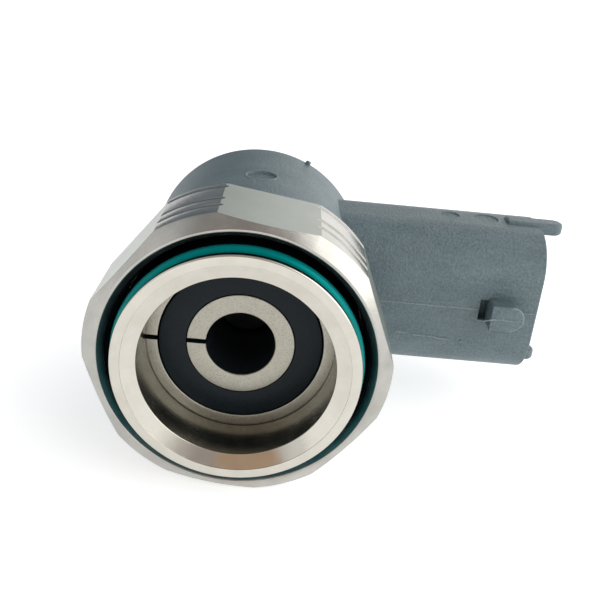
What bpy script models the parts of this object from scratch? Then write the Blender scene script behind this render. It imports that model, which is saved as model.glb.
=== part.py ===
"""Solenoid head of an injector-type cartridge valve, with its captive union nut and side plug.

The valve axis lies along Y: the sleeve's open mouth faces -Y and the plastic cap is at +Y.
The plug points along +X. The head lies on its nut, with +Z up.
Sizes are in millimetres below and are turned into metres where meshes are made.
"""
import math

import bmesh
import bpy
from mathutils import Matrix, Vector

MM = 0.001
SEGMENTS = 60
SMALL_SEGMENTS = 16

# Union nut
NUT_ACROSS_FLATS = 30.0
NUT_CORNER_R = 15.82
NUT_FLAT_ANGLE = 81.84
NUT_FRONT_Y = 1.72
NUT_REAR_Y = 12.21
NUT_MOUTH_R = 14.22
NUT_THREAD_R = 13.5
NUT_COUNTERSINK_DEPTH = 0.88
NUT_RELIEF_R = 14.0
NUT_LIP_R = 12.35
NUT_LIP_DEPTH = 1.56

# Magnet sleeve
SLEEVE_R = 12.5
SLEEVE_MOUTH_R = 11.45
SLEEVE_BORE_R = 9.95
SLEEVE_HOUSE_R = 10.55
SLEEVE_LEDGE_Y = 5.9
GROOVE_Y = (0.9, 2.9)
GROOVE_R = 11.1
COLLAR_Y = (8.6, 10.3)
COLLAR_R = 13.3
NECK_R = 12.0
REAR_GROOVE_Y = (13.6, 15.4)
REAR_GROOVE_R = 11.3
SLEEVE_END_Y = 20.8
ROLLED_LIP_R = 9.9
RING_CLEARANCE = 0.3

# Pot core and coil
CORE_R = 10.3
CORE_Y = (6.2, 17.0)
CORE_BORE_R = 3.64
SLOT_R = (5.68, 8.74)
SLOT_FLOOR_Y = 13.5
SLIT_WIDTH = 0.6
TOWER_X = 6.75
TERMINAL_Z = 2.5
TOWER_R = 1.1
TOWER_HOLE_R = 1.4
TOWER_END_Y = 20.4

# Washer and disc behind the core
WASHER_Y = (17.3, 17.9)
DISC_Y = (18.2, 19.7)
DISC_R = 10.25
SHIM_Y = (16.6, 17.3)
SHIM_R = (1.5, 3.34)

# Plastic cap, carrier and plug
CAP_R = 13.64
CAP_Y = (12.6, 36.1)
CAP_EDGE_R = 1.1
CAP_BORE_R = 12.3
CAP_BORE_END_Y = 33.8
CARRIER_R = 11.9
CARRIER_Y = (21.5, 33.4)
PLUG_FRONT_Y = 20.7
PLUG_BACK_Y = 35.1
PLUG_HALF_Z = 9.23
PLUG_CORNER_R = 5.2
PLUG_WALL = 1.6
PLUG_MOUTH_X = 35.3
SOCKET_FLOOR_X = 23.0
LUG_X = (29.1, 33.15)
LUG_HALF_WIDTH = 1.6
LUG_REACH = 2.3
TONGUE_START_X = 31.2
TONGUE_END_X = 38.4
TONGUE_Y = 28.15
TONGUE_HALF_WIDTH = 1.25
TONGUE_SINK = 1.13
TONGUE_PROUD = 0.37
INSERT_TONGUE_HALF_Y = 2.5
INSERT_TONGUE_HALF_Z = 4.6
BLADE_Y = 27.9
BLADE_SIZE = (18.5, 2.8, 0.8)
BLADE_START_X = 12.0
LEAD_R = 0.4

# The valve axis in the row's frame: the nut rests on the edge of its lowest flat.
LOWEST_EDGE_ANGLE = math.radians(180.0 - NUT_FLAT_ANGLE) - math.acos(
    0.5 * NUT_ACROSS_FLATS / NUT_CORNER_R)
AXIS_HEIGHT = NUT_CORNER_R * math.sin(LOWEST_EDGE_ANGLE)
AXIS_X = -0.5 * (TONGUE_END_X - NUT_CORNER_R)
AXIS_FRONT_Y = -0.5 * CAP_Y[1]

COLOURS = {
    "nut_steel": ((0.38, 0.39, 0.35, 1.0), 0.42, 1.0),
    "sleeve_steel": ((0.66, 0.63, 0.57, 1.0), 0.25, 1.0),
    "sintered_core": ((0.43, 0.41, 0.34, 1.0), 0.55, 1.0),
    "spring_steel": ((0.45, 0.45, 0.45, 1.0), 0.35, 1.0),
    "seal_green": ((0.002, 0.11, 0.115, 1.0), 0.35, 0.0),
    "seal_black": ((0.01, 0.01, 0.01, 1.0), 0.5, 0.0),
    "coil_plastic": ((0.016, 0.026, 0.033, 1.0), 0.4, 0.0),
    "winding_copper": ((0.62, 0.25, 0.1, 1.0), 0.35, 1.0),
    "terminal_metal": ((0.62, 0.58, 0.46, 1.0), 0.3, 1.0),
    "housing_plastic": ((0.1, 0.145, 0.175, 1.0), 0.55, 0.0),
}


def clear_scene():
    """Remove every object, so that the file holds only the model."""
    for obj in list(bpy.data.objects):
        bpy.data.objects.remove(obj, do_unlink=True)


def material(name):
    """Return the named material, made once from the table of colours."""
    found = bpy.data.materials.get(name)
    if found:
        return found
    colour, roughness, metallic = COLOURS[name]
    made = bpy.data.materials.new(name)
    made.use_nodes = True
    shader = made.node_tree.nodes["Principled BSDF"]
    shader.inputs["Base Color"].default_value = colour
    shader.inputs["Roughness"].default_value = roughness
    shader.inputs["Metallic"].default_value = metallic
    made.diffuse_color = colour
    return made


def place(mesh, name, parent, slot=None, at=(0.0, 0.0, 0.0)):
    """Make a named object from a bmesh, parent it to the axis and set its place in mm."""
    bmesh.ops.recalc_face_normals(mesh, faces=mesh.faces)
    data = bpy.data.meshes.new(name)
    mesh.to_mesh(data)
    mesh.free()
    data.shade_smooth()
    data.set_sharp_from_angle(angle=math.radians(30.0))
    obj = bpy.data.objects.new(name, data)
    bpy.context.collection.objects.link(obj)
    obj.parent = parent
    obj.location = Vector(at) * MM
    if slot:
        data.materials.append(material(slot))
    return obj


def turned(profile, segments=SEGMENTS, solid=False):
    """Spin a profile of (radius, y) points in mm about the Y axis.

    A ring's profile is a closed loop. A solid's profile is open and starts and ends on the axis.
    """
    mesh = bmesh.new()
    verts = [mesh.verts.new((r * MM, y * MM, 0.0)) for r, y in profile]
    edges = [mesh.edges.new(pair) for pair in zip(verts, verts[1:])]
    if not solid:
        edges.append(mesh.edges.new((verts[-1], verts[0])))
    bmesh.ops.spin(mesh, geom=verts + edges, cent=(0.0, 0.0, 0.0), axis=(0.0, 1.0, 0.0),
                   angle=2.0 * math.pi, steps=segments, use_merge=True, use_duplicate=False)
    bmesh.ops.remove_doubles(mesh, verts=mesh.verts, dist=1e-7)
    return mesh


def ring_section(centre_r, centre_y, section_r, points=14):
    """Return the round section of a sealing ring as (radius, y) points."""
    return [(centre_r + section_r * math.cos(2.0 * math.pi * i / points),
             centre_y + section_r * math.sin(2.0 * math.pi * i / points))
            for i in range(points)]


def box(low, high):
    """Return a box between two corners in mm."""
    mesh = bmesh.new()
    bmesh.ops.create_cube(mesh, size=1.0)
    size = [(b - a) * MM for a, b in zip(low, high)]
    middle = Vector([0.5 * (a + b) * MM for a, b in zip(low, high)])
    bmesh.ops.scale(mesh, vec=size, verts=mesh.verts)
    bmesh.ops.translate(mesh, vec=middle, verts=mesh.verts)
    return mesh


def rod_along_y(x, z, radius, y_start, y_end, segments=SMALL_SEGMENTS):
    """Return a round rod parallel to the valve axis, in mm."""
    mesh = bmesh.new()
    place_at = Matrix.Translation(Vector((x, 0.5 * (y_start + y_end), z)) * MM)
    bmesh.ops.create_cone(mesh, cap_ends=True, segments=segments, radius1=radius * MM,
                          radius2=radius * MM, depth=(y_end - y_start) * MM,
                          matrix=place_at @ Matrix.Rotation(math.pi / 2.0, 4, "X"))
    return mesh


def extruded(outline, along):
    """Return a closed solid from a flat outline of points, drawn out along a vector, in mm."""
    mesh = bmesh.new()
    face = mesh.faces.new([mesh.verts.new(Vector(point) * MM) for point in outline])
    drawn = bmesh.ops.extrude_face_region(mesh, geom=[face], use_keep_orig=True)
    moved = [item for item in drawn["geom"] if isinstance(item, bmesh.types.BMVert)]
    bmesh.ops.translate(mesh, vec=Vector(along) * MM, verts=moved)
    return mesh


def rounded_bar(x_start, x_end, y_span, half_z, corner_r, corner_steps=6):
    """Return a bar along X whose section in Y and Z is a rectangle with round corners."""
    corners = ((y_span[1] - corner_r, half_z - corner_r), (y_span[0] + corner_r, half_z - corner_r),
               (y_span[0] + corner_r, corner_r - half_z), (y_span[1] - corner_r, corner_r - half_z))
    outline = []
    for quarter, (y, z) in enumerate(corners):
        for i in range(corner_steps + 1):
            turn = 0.5 * math.pi * (quarter + i / corner_steps)
            outline.append((x_start, y + corner_r * math.cos(turn), z + corner_r * math.sin(turn)))
    return extruded(outline, (x_end - x_start, 0.0, 0.0))


def cut(target, mesh, operation="DIFFERENCE"):
    """Add a Boolean to target that uses the mesh as a hidden guide."""
    guide = place(mesh, target.name + "_guide", target.parent)
    guide.hide_render = True
    guide.display_type = "WIRE"
    step = target.modifiers.new(operation.title(), "BOOLEAN")
    step.object = guide
    step.operation = operation
    step.solver = "EXACT"


def make_union_nut(axis):
    """Hexagon nut: a turned blank with chamfers, cut to six flats."""
    lip_y = NUT_REAR_Y - NUT_LIP_DEPTH
    profile = [(NUT_MOUTH_R, NUT_FRONT_Y), (14.4, NUT_FRONT_Y), (NUT_CORNER_R, NUT_FRONT_Y + 0.97),
               (NUT_CORNER_R, NUT_REAR_Y - 0.2), (NUT_CORNER_R - 0.35, NUT_REAR_Y),
               (NUT_LIP_R, NUT_REAR_Y), (NUT_LIP_R, lip_y), (NUT_RELIEF_R, lip_y),
               (NUT_RELIEF_R, 8.4), (NUT_THREAD_R, 8.1),
               (NUT_THREAD_R, NUT_FRONT_Y + NUT_COUNTERSINK_DEPTH)]
    nut = place(turned(profile), "union_nut", axis, "nut_steel")
    prism = bmesh.new()
    flats_turn = Matrix.Rotation(math.radians(-NUT_FLAT_ANGLE), 4, "Y")
    lay_down = Matrix.Rotation(math.pi / 2.0, 4, "X")
    # A cone of six sides has a corner on +X before it is turned, so half a side turns a flat there.
    bmesh.ops.create_cone(prism, cap_ends=True, segments=6, depth=40.0 * MM,
                          radius1=0.5 * NUT_ACROSS_FLATS / math.cos(math.pi / 6.0) * MM,
                          radius2=0.5 * NUT_ACROSS_FLATS / math.cos(math.pi / 6.0) * MM)
    first = max(prism.verts, key=lambda v: (round(v.co.x, 6), v.co.y))
    start = math.atan2(first.co.y, first.co.x)
    half_side = Matrix.Rotation(math.pi / 6.0 - start, 4, "Z")
    bmesh.ops.transform(prism, matrix=flats_turn @ lay_down @ half_side, verts=prism.verts)
    cut(nut, prism, "INTERSECT")
    return nut


def make_magnet_sleeve(axis):
    """Turned sleeve, from the front rim round the outside to the rolled lip and back inside."""
    profile = [(SLEEVE_MOUTH_R, 0.0), (SLEEVE_R - 0.2, 0.0), (SLEEVE_R, 0.25),
               (SLEEVE_R, GROOVE_Y[0]), (GROOVE_R, GROOVE_Y[0]), (GROOVE_R, GROOVE_Y[1]),
               (SLEEVE_R, GROOVE_Y[1]), (SLEEVE_R, COLLAR_Y[0]), (COLLAR_R, COLLAR_Y[0]),
               (COLLAR_R, COLLAR_Y[1]), (NECK_R, COLLAR_Y[1]), (NECK_R, REAR_GROOVE_Y[0]),
               (REAR_GROOVE_R, REAR_GROOVE_Y[0]), (REAR_GROOVE_R, REAR_GROOVE_Y[1]),
               (NECK_R, REAR_GROOVE_Y[1]), (NECK_R, SLEEVE_END_Y - 0.6),
               (NECK_R - 0.6, SLEEVE_END_Y), (ROLLED_LIP_R, SLEEVE_END_Y),
               (ROLLED_LIP_R, DISC_Y[1] + RING_CLEARANCE),
               (SLEEVE_HOUSE_R, DISC_Y[1] + RING_CLEARANCE), (SLEEVE_HOUSE_R, SLEEVE_LEDGE_Y),
               (SLEEVE_BORE_R, SLEEVE_LEDGE_Y), (SLEEVE_BORE_R, 0.68)]
    return place(turned(profile), "magnet_sleeve", axis, "sleeve_steel")


def make_sleeve_seals(axis):
    """Teal ring in the front groove and black ring in the groove of the neck."""
    front_y = 0.5 * (GROOVE_Y[0] + GROOVE_Y[1])
    place(turned(ring_section(12.13, front_y, 0.7, 10)), "sleeve_o_ring", axis, "seal_green")
    rear_y = 0.5 * (REAR_GROOVE_Y[0] + REAR_GROOVE_Y[1])
    place(turned(ring_section(11.8, rear_y, 0.24, 6)), "sleeve_rear_seal", axis, "seal_black")


def make_magnet_core(axis):
    """Pot core: two pole rings joined at the back, with a slit and two terminal holes."""
    chamfer = 0.15
    profile = [(CORE_BORE_R, CORE_Y[0] + chamfer), (CORE_BORE_R + chamfer, CORE_Y[0]),
               (SLOT_R[0], CORE_Y[0]), (SLOT_R[0], SLOT_FLOOR_Y), (SLOT_R[1], SLOT_FLOOR_Y),
               (SLOT_R[1], CORE_Y[0]), (CORE_R - chamfer, CORE_Y[0]), (CORE_R, CORE_Y[0] + chamfer),
               (CORE_R, CORE_Y[1]), (CORE_BORE_R, CORE_Y[1])]
    core = place(turned(profile), "magnet_core", axis, "sintered_core")
    half = 0.5 * SLIT_WIDTH
    cut(core, box((-CORE_R - 1.0, CORE_Y[0] - 1.0, -half), (-1.0, CORE_Y[1] + 1.0, half)))
    for side in (-1, 1):
        cut(core, rod_along_y(TOWER_X, side * TERMINAL_Z, TOWER_HOLE_R, 12.9, 18.0))


def make_coil(axis):
    """Cover ring, bobbin with two terminal towers, and the winding on it."""
    inner, outer = SLOT_R[0] + RING_CLEARANCE, SLOT_R[1] - RING_CLEARANCE
    cover = [(inner, 6.25), (outer, 6.25), (outer, 7.3), (inner, 7.3)]
    place(turned(cover), "coil_cover_ring", axis, "coil_plastic")
    bobbin = [(inner, 7.6), (outer, 7.6), (outer, 8.1), (6.35, 8.1), (6.35, 12.5),
              (outer, 12.5), (outer, 13.2), (inner, 13.2)]
    body = place(turned(bobbin), "coil_bobbin", axis, "coil_plastic")
    for side in (-1, 1):
        cut(body, rod_along_y(TOWER_X, side * TERMINAL_Z, TOWER_R, 12.8, TOWER_END_Y), "UNION")
    winding = [(6.65, 8.4), (8.35, 8.4), (8.35, 12.2), (6.65, 12.2)]
    place(turned(winding), "coil_winding", axis, "winding_copper")


def make_rear_stack(axis):
    """Spring shim in the bore, spring washer and support disc behind the core."""
    shim = [(SHIM_R[0], SHIM_Y[0]), (SHIM_R[1], SHIM_Y[0]), (SHIM_R[1], SHIM_Y[1]),
            (SHIM_R[0], SHIM_Y[1])]
    place(turned(shim, 36), "spring_preload_shim", axis, "spring_steel")
    washer = [(9.0, WASHER_Y[0]), (10.2, WASHER_Y[0] + 0.15), (10.2, WASHER_Y[1]),
              (9.0, WASHER_Y[1] - 0.15)]
    place(turned(washer), "core_spring_washer", axis, "spring_steel")
    disc_profile = [(0.0, DISC_Y[0]), (DISC_R, DISC_Y[0]), (DISC_R, DISC_Y[1]), (0.0, DISC_Y[1])]
    disc = place(turned(disc_profile, solid=True), "core_support_disc", axis, "spring_steel")
    for side in (-1, 1):
        hole = rod_along_y(TOWER_X, side * TERMINAL_Z, TOWER_HOLE_R, DISC_Y[0] - 1, DISC_Y[1] + 1)
        cut(disc, hole)


def make_terminals(axis):
    """Two sets of tower seal, lead and plug blade, one set on each side of the middle."""
    for number, z in ((1, TERMINAL_Z), (2, -TERMINAL_Z)):
        seal = turned(ring_section(1.72, 0.0, 0.28, 6), SMALL_SEGMENTS)
        place(seal, f"pin_seal_{number}", axis, "seal_black", at=(TOWER_X, 20.3, z))
        make_lead(axis, f"coil_lead_{number}", z)
        length, width, thickness = BLADE_SIZE
        low = (BLADE_START_X, BLADE_Y - 0.5 * width, z - 0.5 * thickness)
        high = (BLADE_START_X + length, BLADE_Y + 0.5 * width, z + 0.5 * thickness)
        blade = place(box(low, high), f"terminal_blade_{number}", axis, "terminal_metal")
        taper_tip(blade.data, high[0])


def taper_tip(data, tip_x):
    """Narrow a blade's free end, so that it leads into its socket."""
    mesh = bmesh.new()
    mesh.from_mesh(data)
    plane = Vector((tip_x - 1.2, 0.0, 0.0)) * MM
    bmesh.ops.bisect_plane(mesh, geom=mesh.verts[:] + mesh.edges[:] + mesh.faces[:],
                           plane_co=plane, plane_no=(1.0, 0.0, 0.0))
    tip = [v for v in mesh.verts if v.co.x > plane.x + 1e-5]
    centre = sum((v.co for v in tip), Vector()) / len(tip)
    bmesh.ops.scale(mesh, vec=(1.0, 0.7, 0.5), verts=tip, space=Matrix.Translation(-centre))
    mesh.to_mesh(data)
    mesh.free()


def make_lead(axis, name, z):
    """Wire from a terminal tower back and round to its blade, as a curve with filled caps."""
    bend_r = 1.6
    path = [(TOWER_X, TOWER_END_Y + RING_CLEARANCE), (TOWER_X, BLADE_Y - bend_r)]
    for i in range(1, 5):
        turn = 0.25 * i * math.pi / 2.0
        path.append((TOWER_X + bend_r * (1.0 - math.cos(turn)),
                     BLADE_Y - bend_r * (1.0 - math.sin(turn))))
    path.append((BLADE_START_X - RING_CLEARANCE, BLADE_Y))
    data = bpy.data.curves.new(name, "CURVE")
    data.dimensions = "3D"
    data.bevel_depth = LEAD_R * MM
    data.bevel_resolution = 2
    data.use_fill_caps = True
    spline = data.splines.new("POLY")
    spline.points.add(len(path) - 1)
    for point, (x, y) in zip(spline.points, path):
        point.co = (x * MM, y * MM, z * MM, 1.0)
    lead = bpy.data.objects.new(name, data)
    bpy.context.collection.objects.link(lead)
    lead.parent = axis
    data.materials.append(material("winding_copper"))


def make_terminal_carrier(axis):
    """Plastic insert behind the sleeve, with a tongue to the plug and slots for the terminals."""
    edge = 0.5
    profile = [(0.0, CARRIER_Y[0]), (CARRIER_R, CARRIER_Y[0]), (CARRIER_R, CARRIER_Y[1] - edge),
               (CARRIER_R - edge, CARRIER_Y[1]), (0.0, CARRIER_Y[1])]
    carrier = place(turned(profile, solid=True), "terminal_carrier", axis, "coil_plastic")
    span = (BLADE_Y - INSERT_TONGUE_HALF_Y, BLADE_Y + INSERT_TONGUE_HALF_Y)
    tongue = rounded_bar(8.0, SOCKET_FLOOR_X - RING_CLEARANCE, span, INSERT_TONGUE_HALF_Z, 0.8, 2)
    cut(carrier, tongue, "UNION")
    slot_end_y = BLADE_Y + 0.5 * BLADE_SIZE[1] + RING_CLEARANCE
    for z in (TERMINAL_Z, -TERMINAL_Z):
        slot = box((TOWER_X - 1.5, CARRIER_Y[0] - 1.5, z - 1.3),
                   (SOCKET_FLOOR_X + 2.0, slot_end_y, z + 1.3))
        cut(carrier, slot)


def make_plastic_housing(axis):
    """Moulded cap over the sleeve, with the plug shell, its locking lug and guide tongues."""
    arc = [(CAP_R - CAP_EDGE_R * (1.0 - math.cos(0.25 * i * math.pi / 2.0)),
            CAP_Y[1] - CAP_EDGE_R * (1.0 - math.sin(0.25 * i * math.pi / 2.0))) for i in range(5)]
    profile = [(0.0, CAP_Y[1])] + arc[::-1] + [
        (CAP_R, CAP_Y[0] + 0.3), (CAP_R - 0.3, CAP_Y[0]), (0.0, CAP_Y[0])]
    housing = place(turned(profile, solid=True), "plastic_housing", axis, "housing_plastic")
    span = (PLUG_FRONT_Y, PLUG_BACK_Y)
    shell = rounded_bar(4.0, PLUG_MOUTH_X, span, PLUG_HALF_Z, PLUG_CORNER_R)
    cut(housing, shell, "UNION")
    cavity = [(0.0, CAP_Y[0] - 2.0), (CAP_BORE_R, CAP_Y[0] - 2.0), (CAP_BORE_R, CAP_BORE_END_Y),
              (0.0, CAP_BORE_END_Y)]
    cut(housing, turned(cavity, solid=True))
    inner_span = (PLUG_FRONT_Y + PLUG_WALL, PLUG_BACK_Y - PLUG_WALL)
    cut(housing, rounded_bar(SOCKET_FLOOR_X, PLUG_MOUTH_X + 2.0, inner_span,
                             PLUG_HALF_Z - PLUG_WALL, PLUG_CORNER_R - PLUG_WALL))
    span = (BLADE_Y - INSERT_TONGUE_HALF_Y - RING_CLEARANCE,
            BLADE_Y + INSERT_TONGUE_HALF_Y + RING_CLEARANCE)
    cut(housing, rounded_bar(11.0, SOCKET_FLOOR_X + 1.0, span,
                             INSERT_TONGUE_HALF_Z + RING_CLEARANCE, 1.1, 2))
    cut(housing, locking_lug(), "UNION")
    for side in (-1, 1):
        cut(housing, guide_tongue(side), "UNION")


def locking_lug():
    """Latch on the plug's front wall, flat towards the cap and half round towards the mouth."""
    tip_y = PLUG_FRONT_Y - LUG_REACH
    centre_x = LUG_X[1] - LUG_HALF_WIDTH
    outline = [(LUG_X[0], tip_y, -LUG_HALF_WIDTH)]
    for i in range(9):
        turn = math.pi * (i / 8.0 - 0.5)
        outline.append((centre_x + LUG_HALF_WIDTH * math.cos(turn), tip_y,
                        LUG_HALF_WIDTH * math.sin(turn)))
    outline.append((LUG_X[0], tip_y, LUG_HALF_WIDTH))
    return extruded(outline, (0.0, LUG_REACH + 0.5 * PLUG_WALL, 0.0))


def guide_tongue(side):
    """Flat round-ended tongue on the plug's top or bottom, reaching past its mouth."""
    z_inner = PLUG_HALF_Z - TONGUE_SINK
    outline = [(TONGUE_START_X, TONGUE_Y - TONGUE_HALF_WIDTH, side * z_inner),
               (TONGUE_START_X, TONGUE_Y + TONGUE_HALF_WIDTH, side * z_inner)]
    for i in range(9):
        turn = math.pi * (0.5 - i / 8.0)
        outline.append((TONGUE_END_X - TONGUE_HALF_WIDTH * (1.0 - math.cos(turn)),
                        TONGUE_Y + TONGUE_HALF_WIDTH * math.sin(turn), side * z_inner))
    return extruded(outline, (0.0, 0.0, side * (TONGUE_SINK + TONGUE_PROUD)))


def main():
    """Build every piece round one empty that stands on the valve axis."""
    clear_scene()
    axis = bpy.data.objects.new("valve_axis", None)
    axis.location = Vector((AXIS_X, AXIS_FRONT_Y, AXIS_HEIGHT)) * MM
    bpy.context.collection.objects.link(axis)
    make_union_nut(axis)
    make_magnet_sleeve(axis)
    make_sleeve_seals(axis)
    make_magnet_core(axis)
    make_coil(axis)
    make_rear_stack(axis)
    make_terminals(axis)
    make_terminal_carrier(axis)
    make_plastic_housing(axis)
    bpy.context.view_layer.update()


main()
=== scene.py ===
"""Finished look of a cartridge valve's solenoid head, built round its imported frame.

Meshes are shaped in millimetres about the valve's own axis: Y runs from the open sleeve to the
plastic cap, X points out of the side plug, and radii are measured from the axis. Each finished
piece is then scaled to metres and moved to where the frame's sleeve stands.
"""

import logging
import math
from dataclasses import dataclass
from enum import Enum

import bmesh
import bpy
from mathutils import Matrix, Vector


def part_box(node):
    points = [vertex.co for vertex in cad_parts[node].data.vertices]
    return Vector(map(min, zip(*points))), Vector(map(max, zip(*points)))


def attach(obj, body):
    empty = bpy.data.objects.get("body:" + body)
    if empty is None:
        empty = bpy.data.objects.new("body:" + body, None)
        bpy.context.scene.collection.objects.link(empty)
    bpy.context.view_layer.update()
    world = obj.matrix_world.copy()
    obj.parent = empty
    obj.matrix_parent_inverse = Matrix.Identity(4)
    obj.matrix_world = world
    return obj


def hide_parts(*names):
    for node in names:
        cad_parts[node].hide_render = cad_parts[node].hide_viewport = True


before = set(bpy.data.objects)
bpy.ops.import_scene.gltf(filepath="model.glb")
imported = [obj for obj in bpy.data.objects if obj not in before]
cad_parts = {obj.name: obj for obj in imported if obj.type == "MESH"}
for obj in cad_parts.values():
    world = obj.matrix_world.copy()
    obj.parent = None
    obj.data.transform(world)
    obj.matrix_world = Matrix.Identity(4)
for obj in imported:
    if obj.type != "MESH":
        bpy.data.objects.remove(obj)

LOG = logging.getLogger("solenoid_head")
MM = 0.001
ROUND = 240
Profile = list[tuple[float, float]]
Colour = tuple[float, float, float]


class Body(Enum):
    """Rigid bodies that pieces ride on."""

    HEAD = "magnet_group"
    NUT = "nut"


class Join(Enum):
    """Ways in which one closed shape changes another."""

    ADD = "UNION"
    CUT = "DIFFERENCE"


# --------------------------------------------------------------------------- shapes


def filleted(corners: list[tuple[float, float, float]], steps: int = 5) -> Profile:
    """Round the corners of a turned profile.

    Args:
        corners: Radius, y and fillet of each corner, in order. The first and last stay sharp
            if their fillet is zero.
        steps: Straight stretches in each fillet.

    Returns:
        The profile's points as radius and y.
    """
    points: Profile = []
    count = len(corners)
    for index, (radius, y, fillet) in enumerate(corners):
        corner = Vector((radius, y))
        if fillet <= 0.0:
            points.append((radius, y))
            continue
        before = Vector(corners[index - 1][:2]) - corner
        after = Vector(corners[(index + 1) % count][:2]) - corner
        before.normalize()
        after.normalize()
        half = 0.5 * before.angle(after)
        centre = corner + (before + after).normalized() * (fillet / math.sin(half))
        start = corner + before * (fillet / math.tan(half)) - centre
        end = corner + after * (fillet / math.tan(half)) - centre
        turn = start.angle_signed(end)
        for step in range(steps + 1):
            angle = -turn * step / steps
            x = start.x * math.cos(angle) - start.y * math.sin(angle)
            z = start.x * math.sin(angle) + start.y * math.cos(angle)
            points.append((centre.x + x, centre.y + z))
    return points


def turned(profile: Profile, segments: int = ROUND, closed: bool = True) -> bmesh.types.BMesh:
    """Spin a profile about the valve axis.

    Args:
        profile: Radius and y of each point. A solid's profile starts and ends on the axis.
        segments: Steps round the axis.
        closed: Whether the last point joins the first, as on a ring.

    Returns:
        A closed mesh in millimetres.
    """
    mesh = bmesh.new()
    verts = [mesh.verts.new((radius, y, 0.0)) for radius, y in profile]
    edges = [mesh.edges.new(pair) for pair in zip(verts, verts[1:])]
    if closed:
        edges.append(mesh.edges.new((verts[-1], verts[0])))
    bmesh.ops.spin(mesh, geom=verts + edges, cent=(0.0, 0.0, 0.0), axis=(0.0, 1.0, 0.0),
                   angle=2.0 * math.pi, steps=segments, use_merge=True, use_duplicate=False)
    bmesh.ops.remove_doubles(mesh, verts=mesh.verts, dist=1e-5)
    bmesh.ops.recalc_face_normals(mesh, faces=mesh.faces)
    return mesh


def section_circle(radius: float, y: float, thickness: float, steps: int = 24) -> Profile:
    """Return a round section for a sealing ring or a wire turn.

    Args:
        radius: Distance of the section's middle from the axis.
        y: Place of the section's middle along the axis.
        thickness: Radius of the section.
        steps: Points round the section.

    Returns:
        The profile's points.
    """
    turns = [2.0 * math.pi * step / steps for step in range(steps)]
    return [(radius + thickness * math.cos(t), y + thickness * math.sin(t)) for t in turns]


def extruded(outline: list[Vector], along: Vector) -> bmesh.types.BMesh:
    """Draw a flat outline out into a closed solid.

    Args:
        outline: Points of the outline, in order.
        along: Direction and length of the extrusion.

    Returns:
        A closed mesh in millimetres.
    """
    mesh = bmesh.new()
    face = mesh.faces.new([mesh.verts.new(point) for point in outline])
    drawn = bmesh.ops.extrude_face_region(mesh, geom=[face], use_keep_orig=True)
    moved = [item for item in drawn["geom"] if isinstance(item, bmesh.types.BMVert)]
    bmesh.ops.translate(mesh, vec=along, verts=moved)
    bmesh.ops.recalc_face_normals(mesh, faces=mesh.faces)
    return mesh


def soften(mesh: bmesh.types.BMesh, amount: float, segments: int = 3, angle: float = 50.0) -> None:
    """Bevel the edges of a mesh that are sharper than an angle.

    Args:
        mesh: The mesh to change.
        amount: Width of the bevel in millimetres.
        segments: Steps across the bevel.
        angle: Smallest angle in degrees between the faces of an edge that is bevelled.
    """
    sharp = [edge for edge in mesh.edges
             if edge.is_manifold and edge.calc_face_angle() > math.radians(angle)]
    bmesh.ops.bevel(mesh, geom=sharp, offset=amount, offset_type="OFFSET", affect="EDGES",
                    segments=segments, profile=0.5, material=-1, clamp_overlap=True)


def bar_outline(span: tuple[float, float], half_z: float, corner: float, x: float,
                steps: int = 10) -> list[Vector]:
    """Return the rounded rectangle that is the section of the plug.

    Args:
        span: Front and back of the section in y.
        half_z: Half of its height.
        corner: Radius of its corners.
        x: Place of the section along the plug.
        steps: Straight stretches in each corner.

    Returns:
        Points of the outline.
    """
    centres = ((span[1] - corner, half_z - corner), (span[0] + corner, half_z - corner),
               (span[0] + corner, corner - half_z), (span[1] - corner, corner - half_z))
    points = []
    for quarter, (y, z) in enumerate(centres):
        for step in range(steps + 1):
            turn = 0.5 * math.pi * (quarter + step / steps)
            points.append(Vector((x, y + corner * math.cos(turn), z + corner * math.sin(turn))))
    return points


def rod(start: Vector, end: Vector, radius: float, segments: int = 40) -> bmesh.types.BMesh:
    """Return a round rod between two points.

    Args:
        start: Middle of one end.
        end: Middle of the other end.
        radius: Radius of the rod.
        segments: Sides of the rod.

    Returns:
        A closed mesh in millimetres.
    """
    mesh = bmesh.new()
    along = end - start
    turn = along.to_track_quat("Z", "Y").to_matrix().to_4x4()
    bmesh.ops.create_cone(mesh, cap_ends=True, segments=segments, radius1=radius, radius2=radius,
                          depth=along.length,
                          matrix=Matrix.Translation(0.5 * (start + end)) @ turn)
    return mesh


def block(low: Vector, high: Vector) -> bmesh.types.BMesh:
    """Return a box between two corners.

    Args:
        low: Corner with the lowest x, y and z.
        high: The opposite corner.

    Returns:
        A closed mesh in millimetres.
    """
    mesh = bmesh.new()
    middle = Matrix.Translation(0.5 * (low + high))
    bmesh.ops.create_cube(mesh, size=1.0, matrix=middle @ Matrix.Diagonal((*(high - low), 1.0)))
    return mesh


def combined(base: bmesh.types.BMesh,
             steps: list[tuple[Join, bmesh.types.BMesh]]) -> bmesh.types.BMesh:
    """Add shapes to a base shape, or cut them from it, in order.

    Args:
        base: The closed shape to start from. It is used up.
        steps: What is done, and with which closed shape. Each is used up.

    Returns:
        One closed mesh.
    """
    target = loose_object(base, "joining_base")
    guides = []
    for number, (how, shape) in enumerate(steps):
        bmesh.ops.recalc_face_normals(shape, faces=shape.faces)
        guide = loose_object(shape, f"joining_{number}")
        change = target.modifiers.new(how.name, "BOOLEAN")
        change.operation = how.value
        change.solver = "EXACT"
        change.object = guide
        guides.append(guide)
    graph = bpy.context.evaluated_depsgraph_get()
    result = bmesh.new()
    result.from_mesh(target.evaluated_get(graph).to_mesh())
    for guide in [target, *guides]:
        data = guide.data
        bpy.data.objects.remove(guide)
        bpy.data.meshes.remove(data)
    return result


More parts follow.
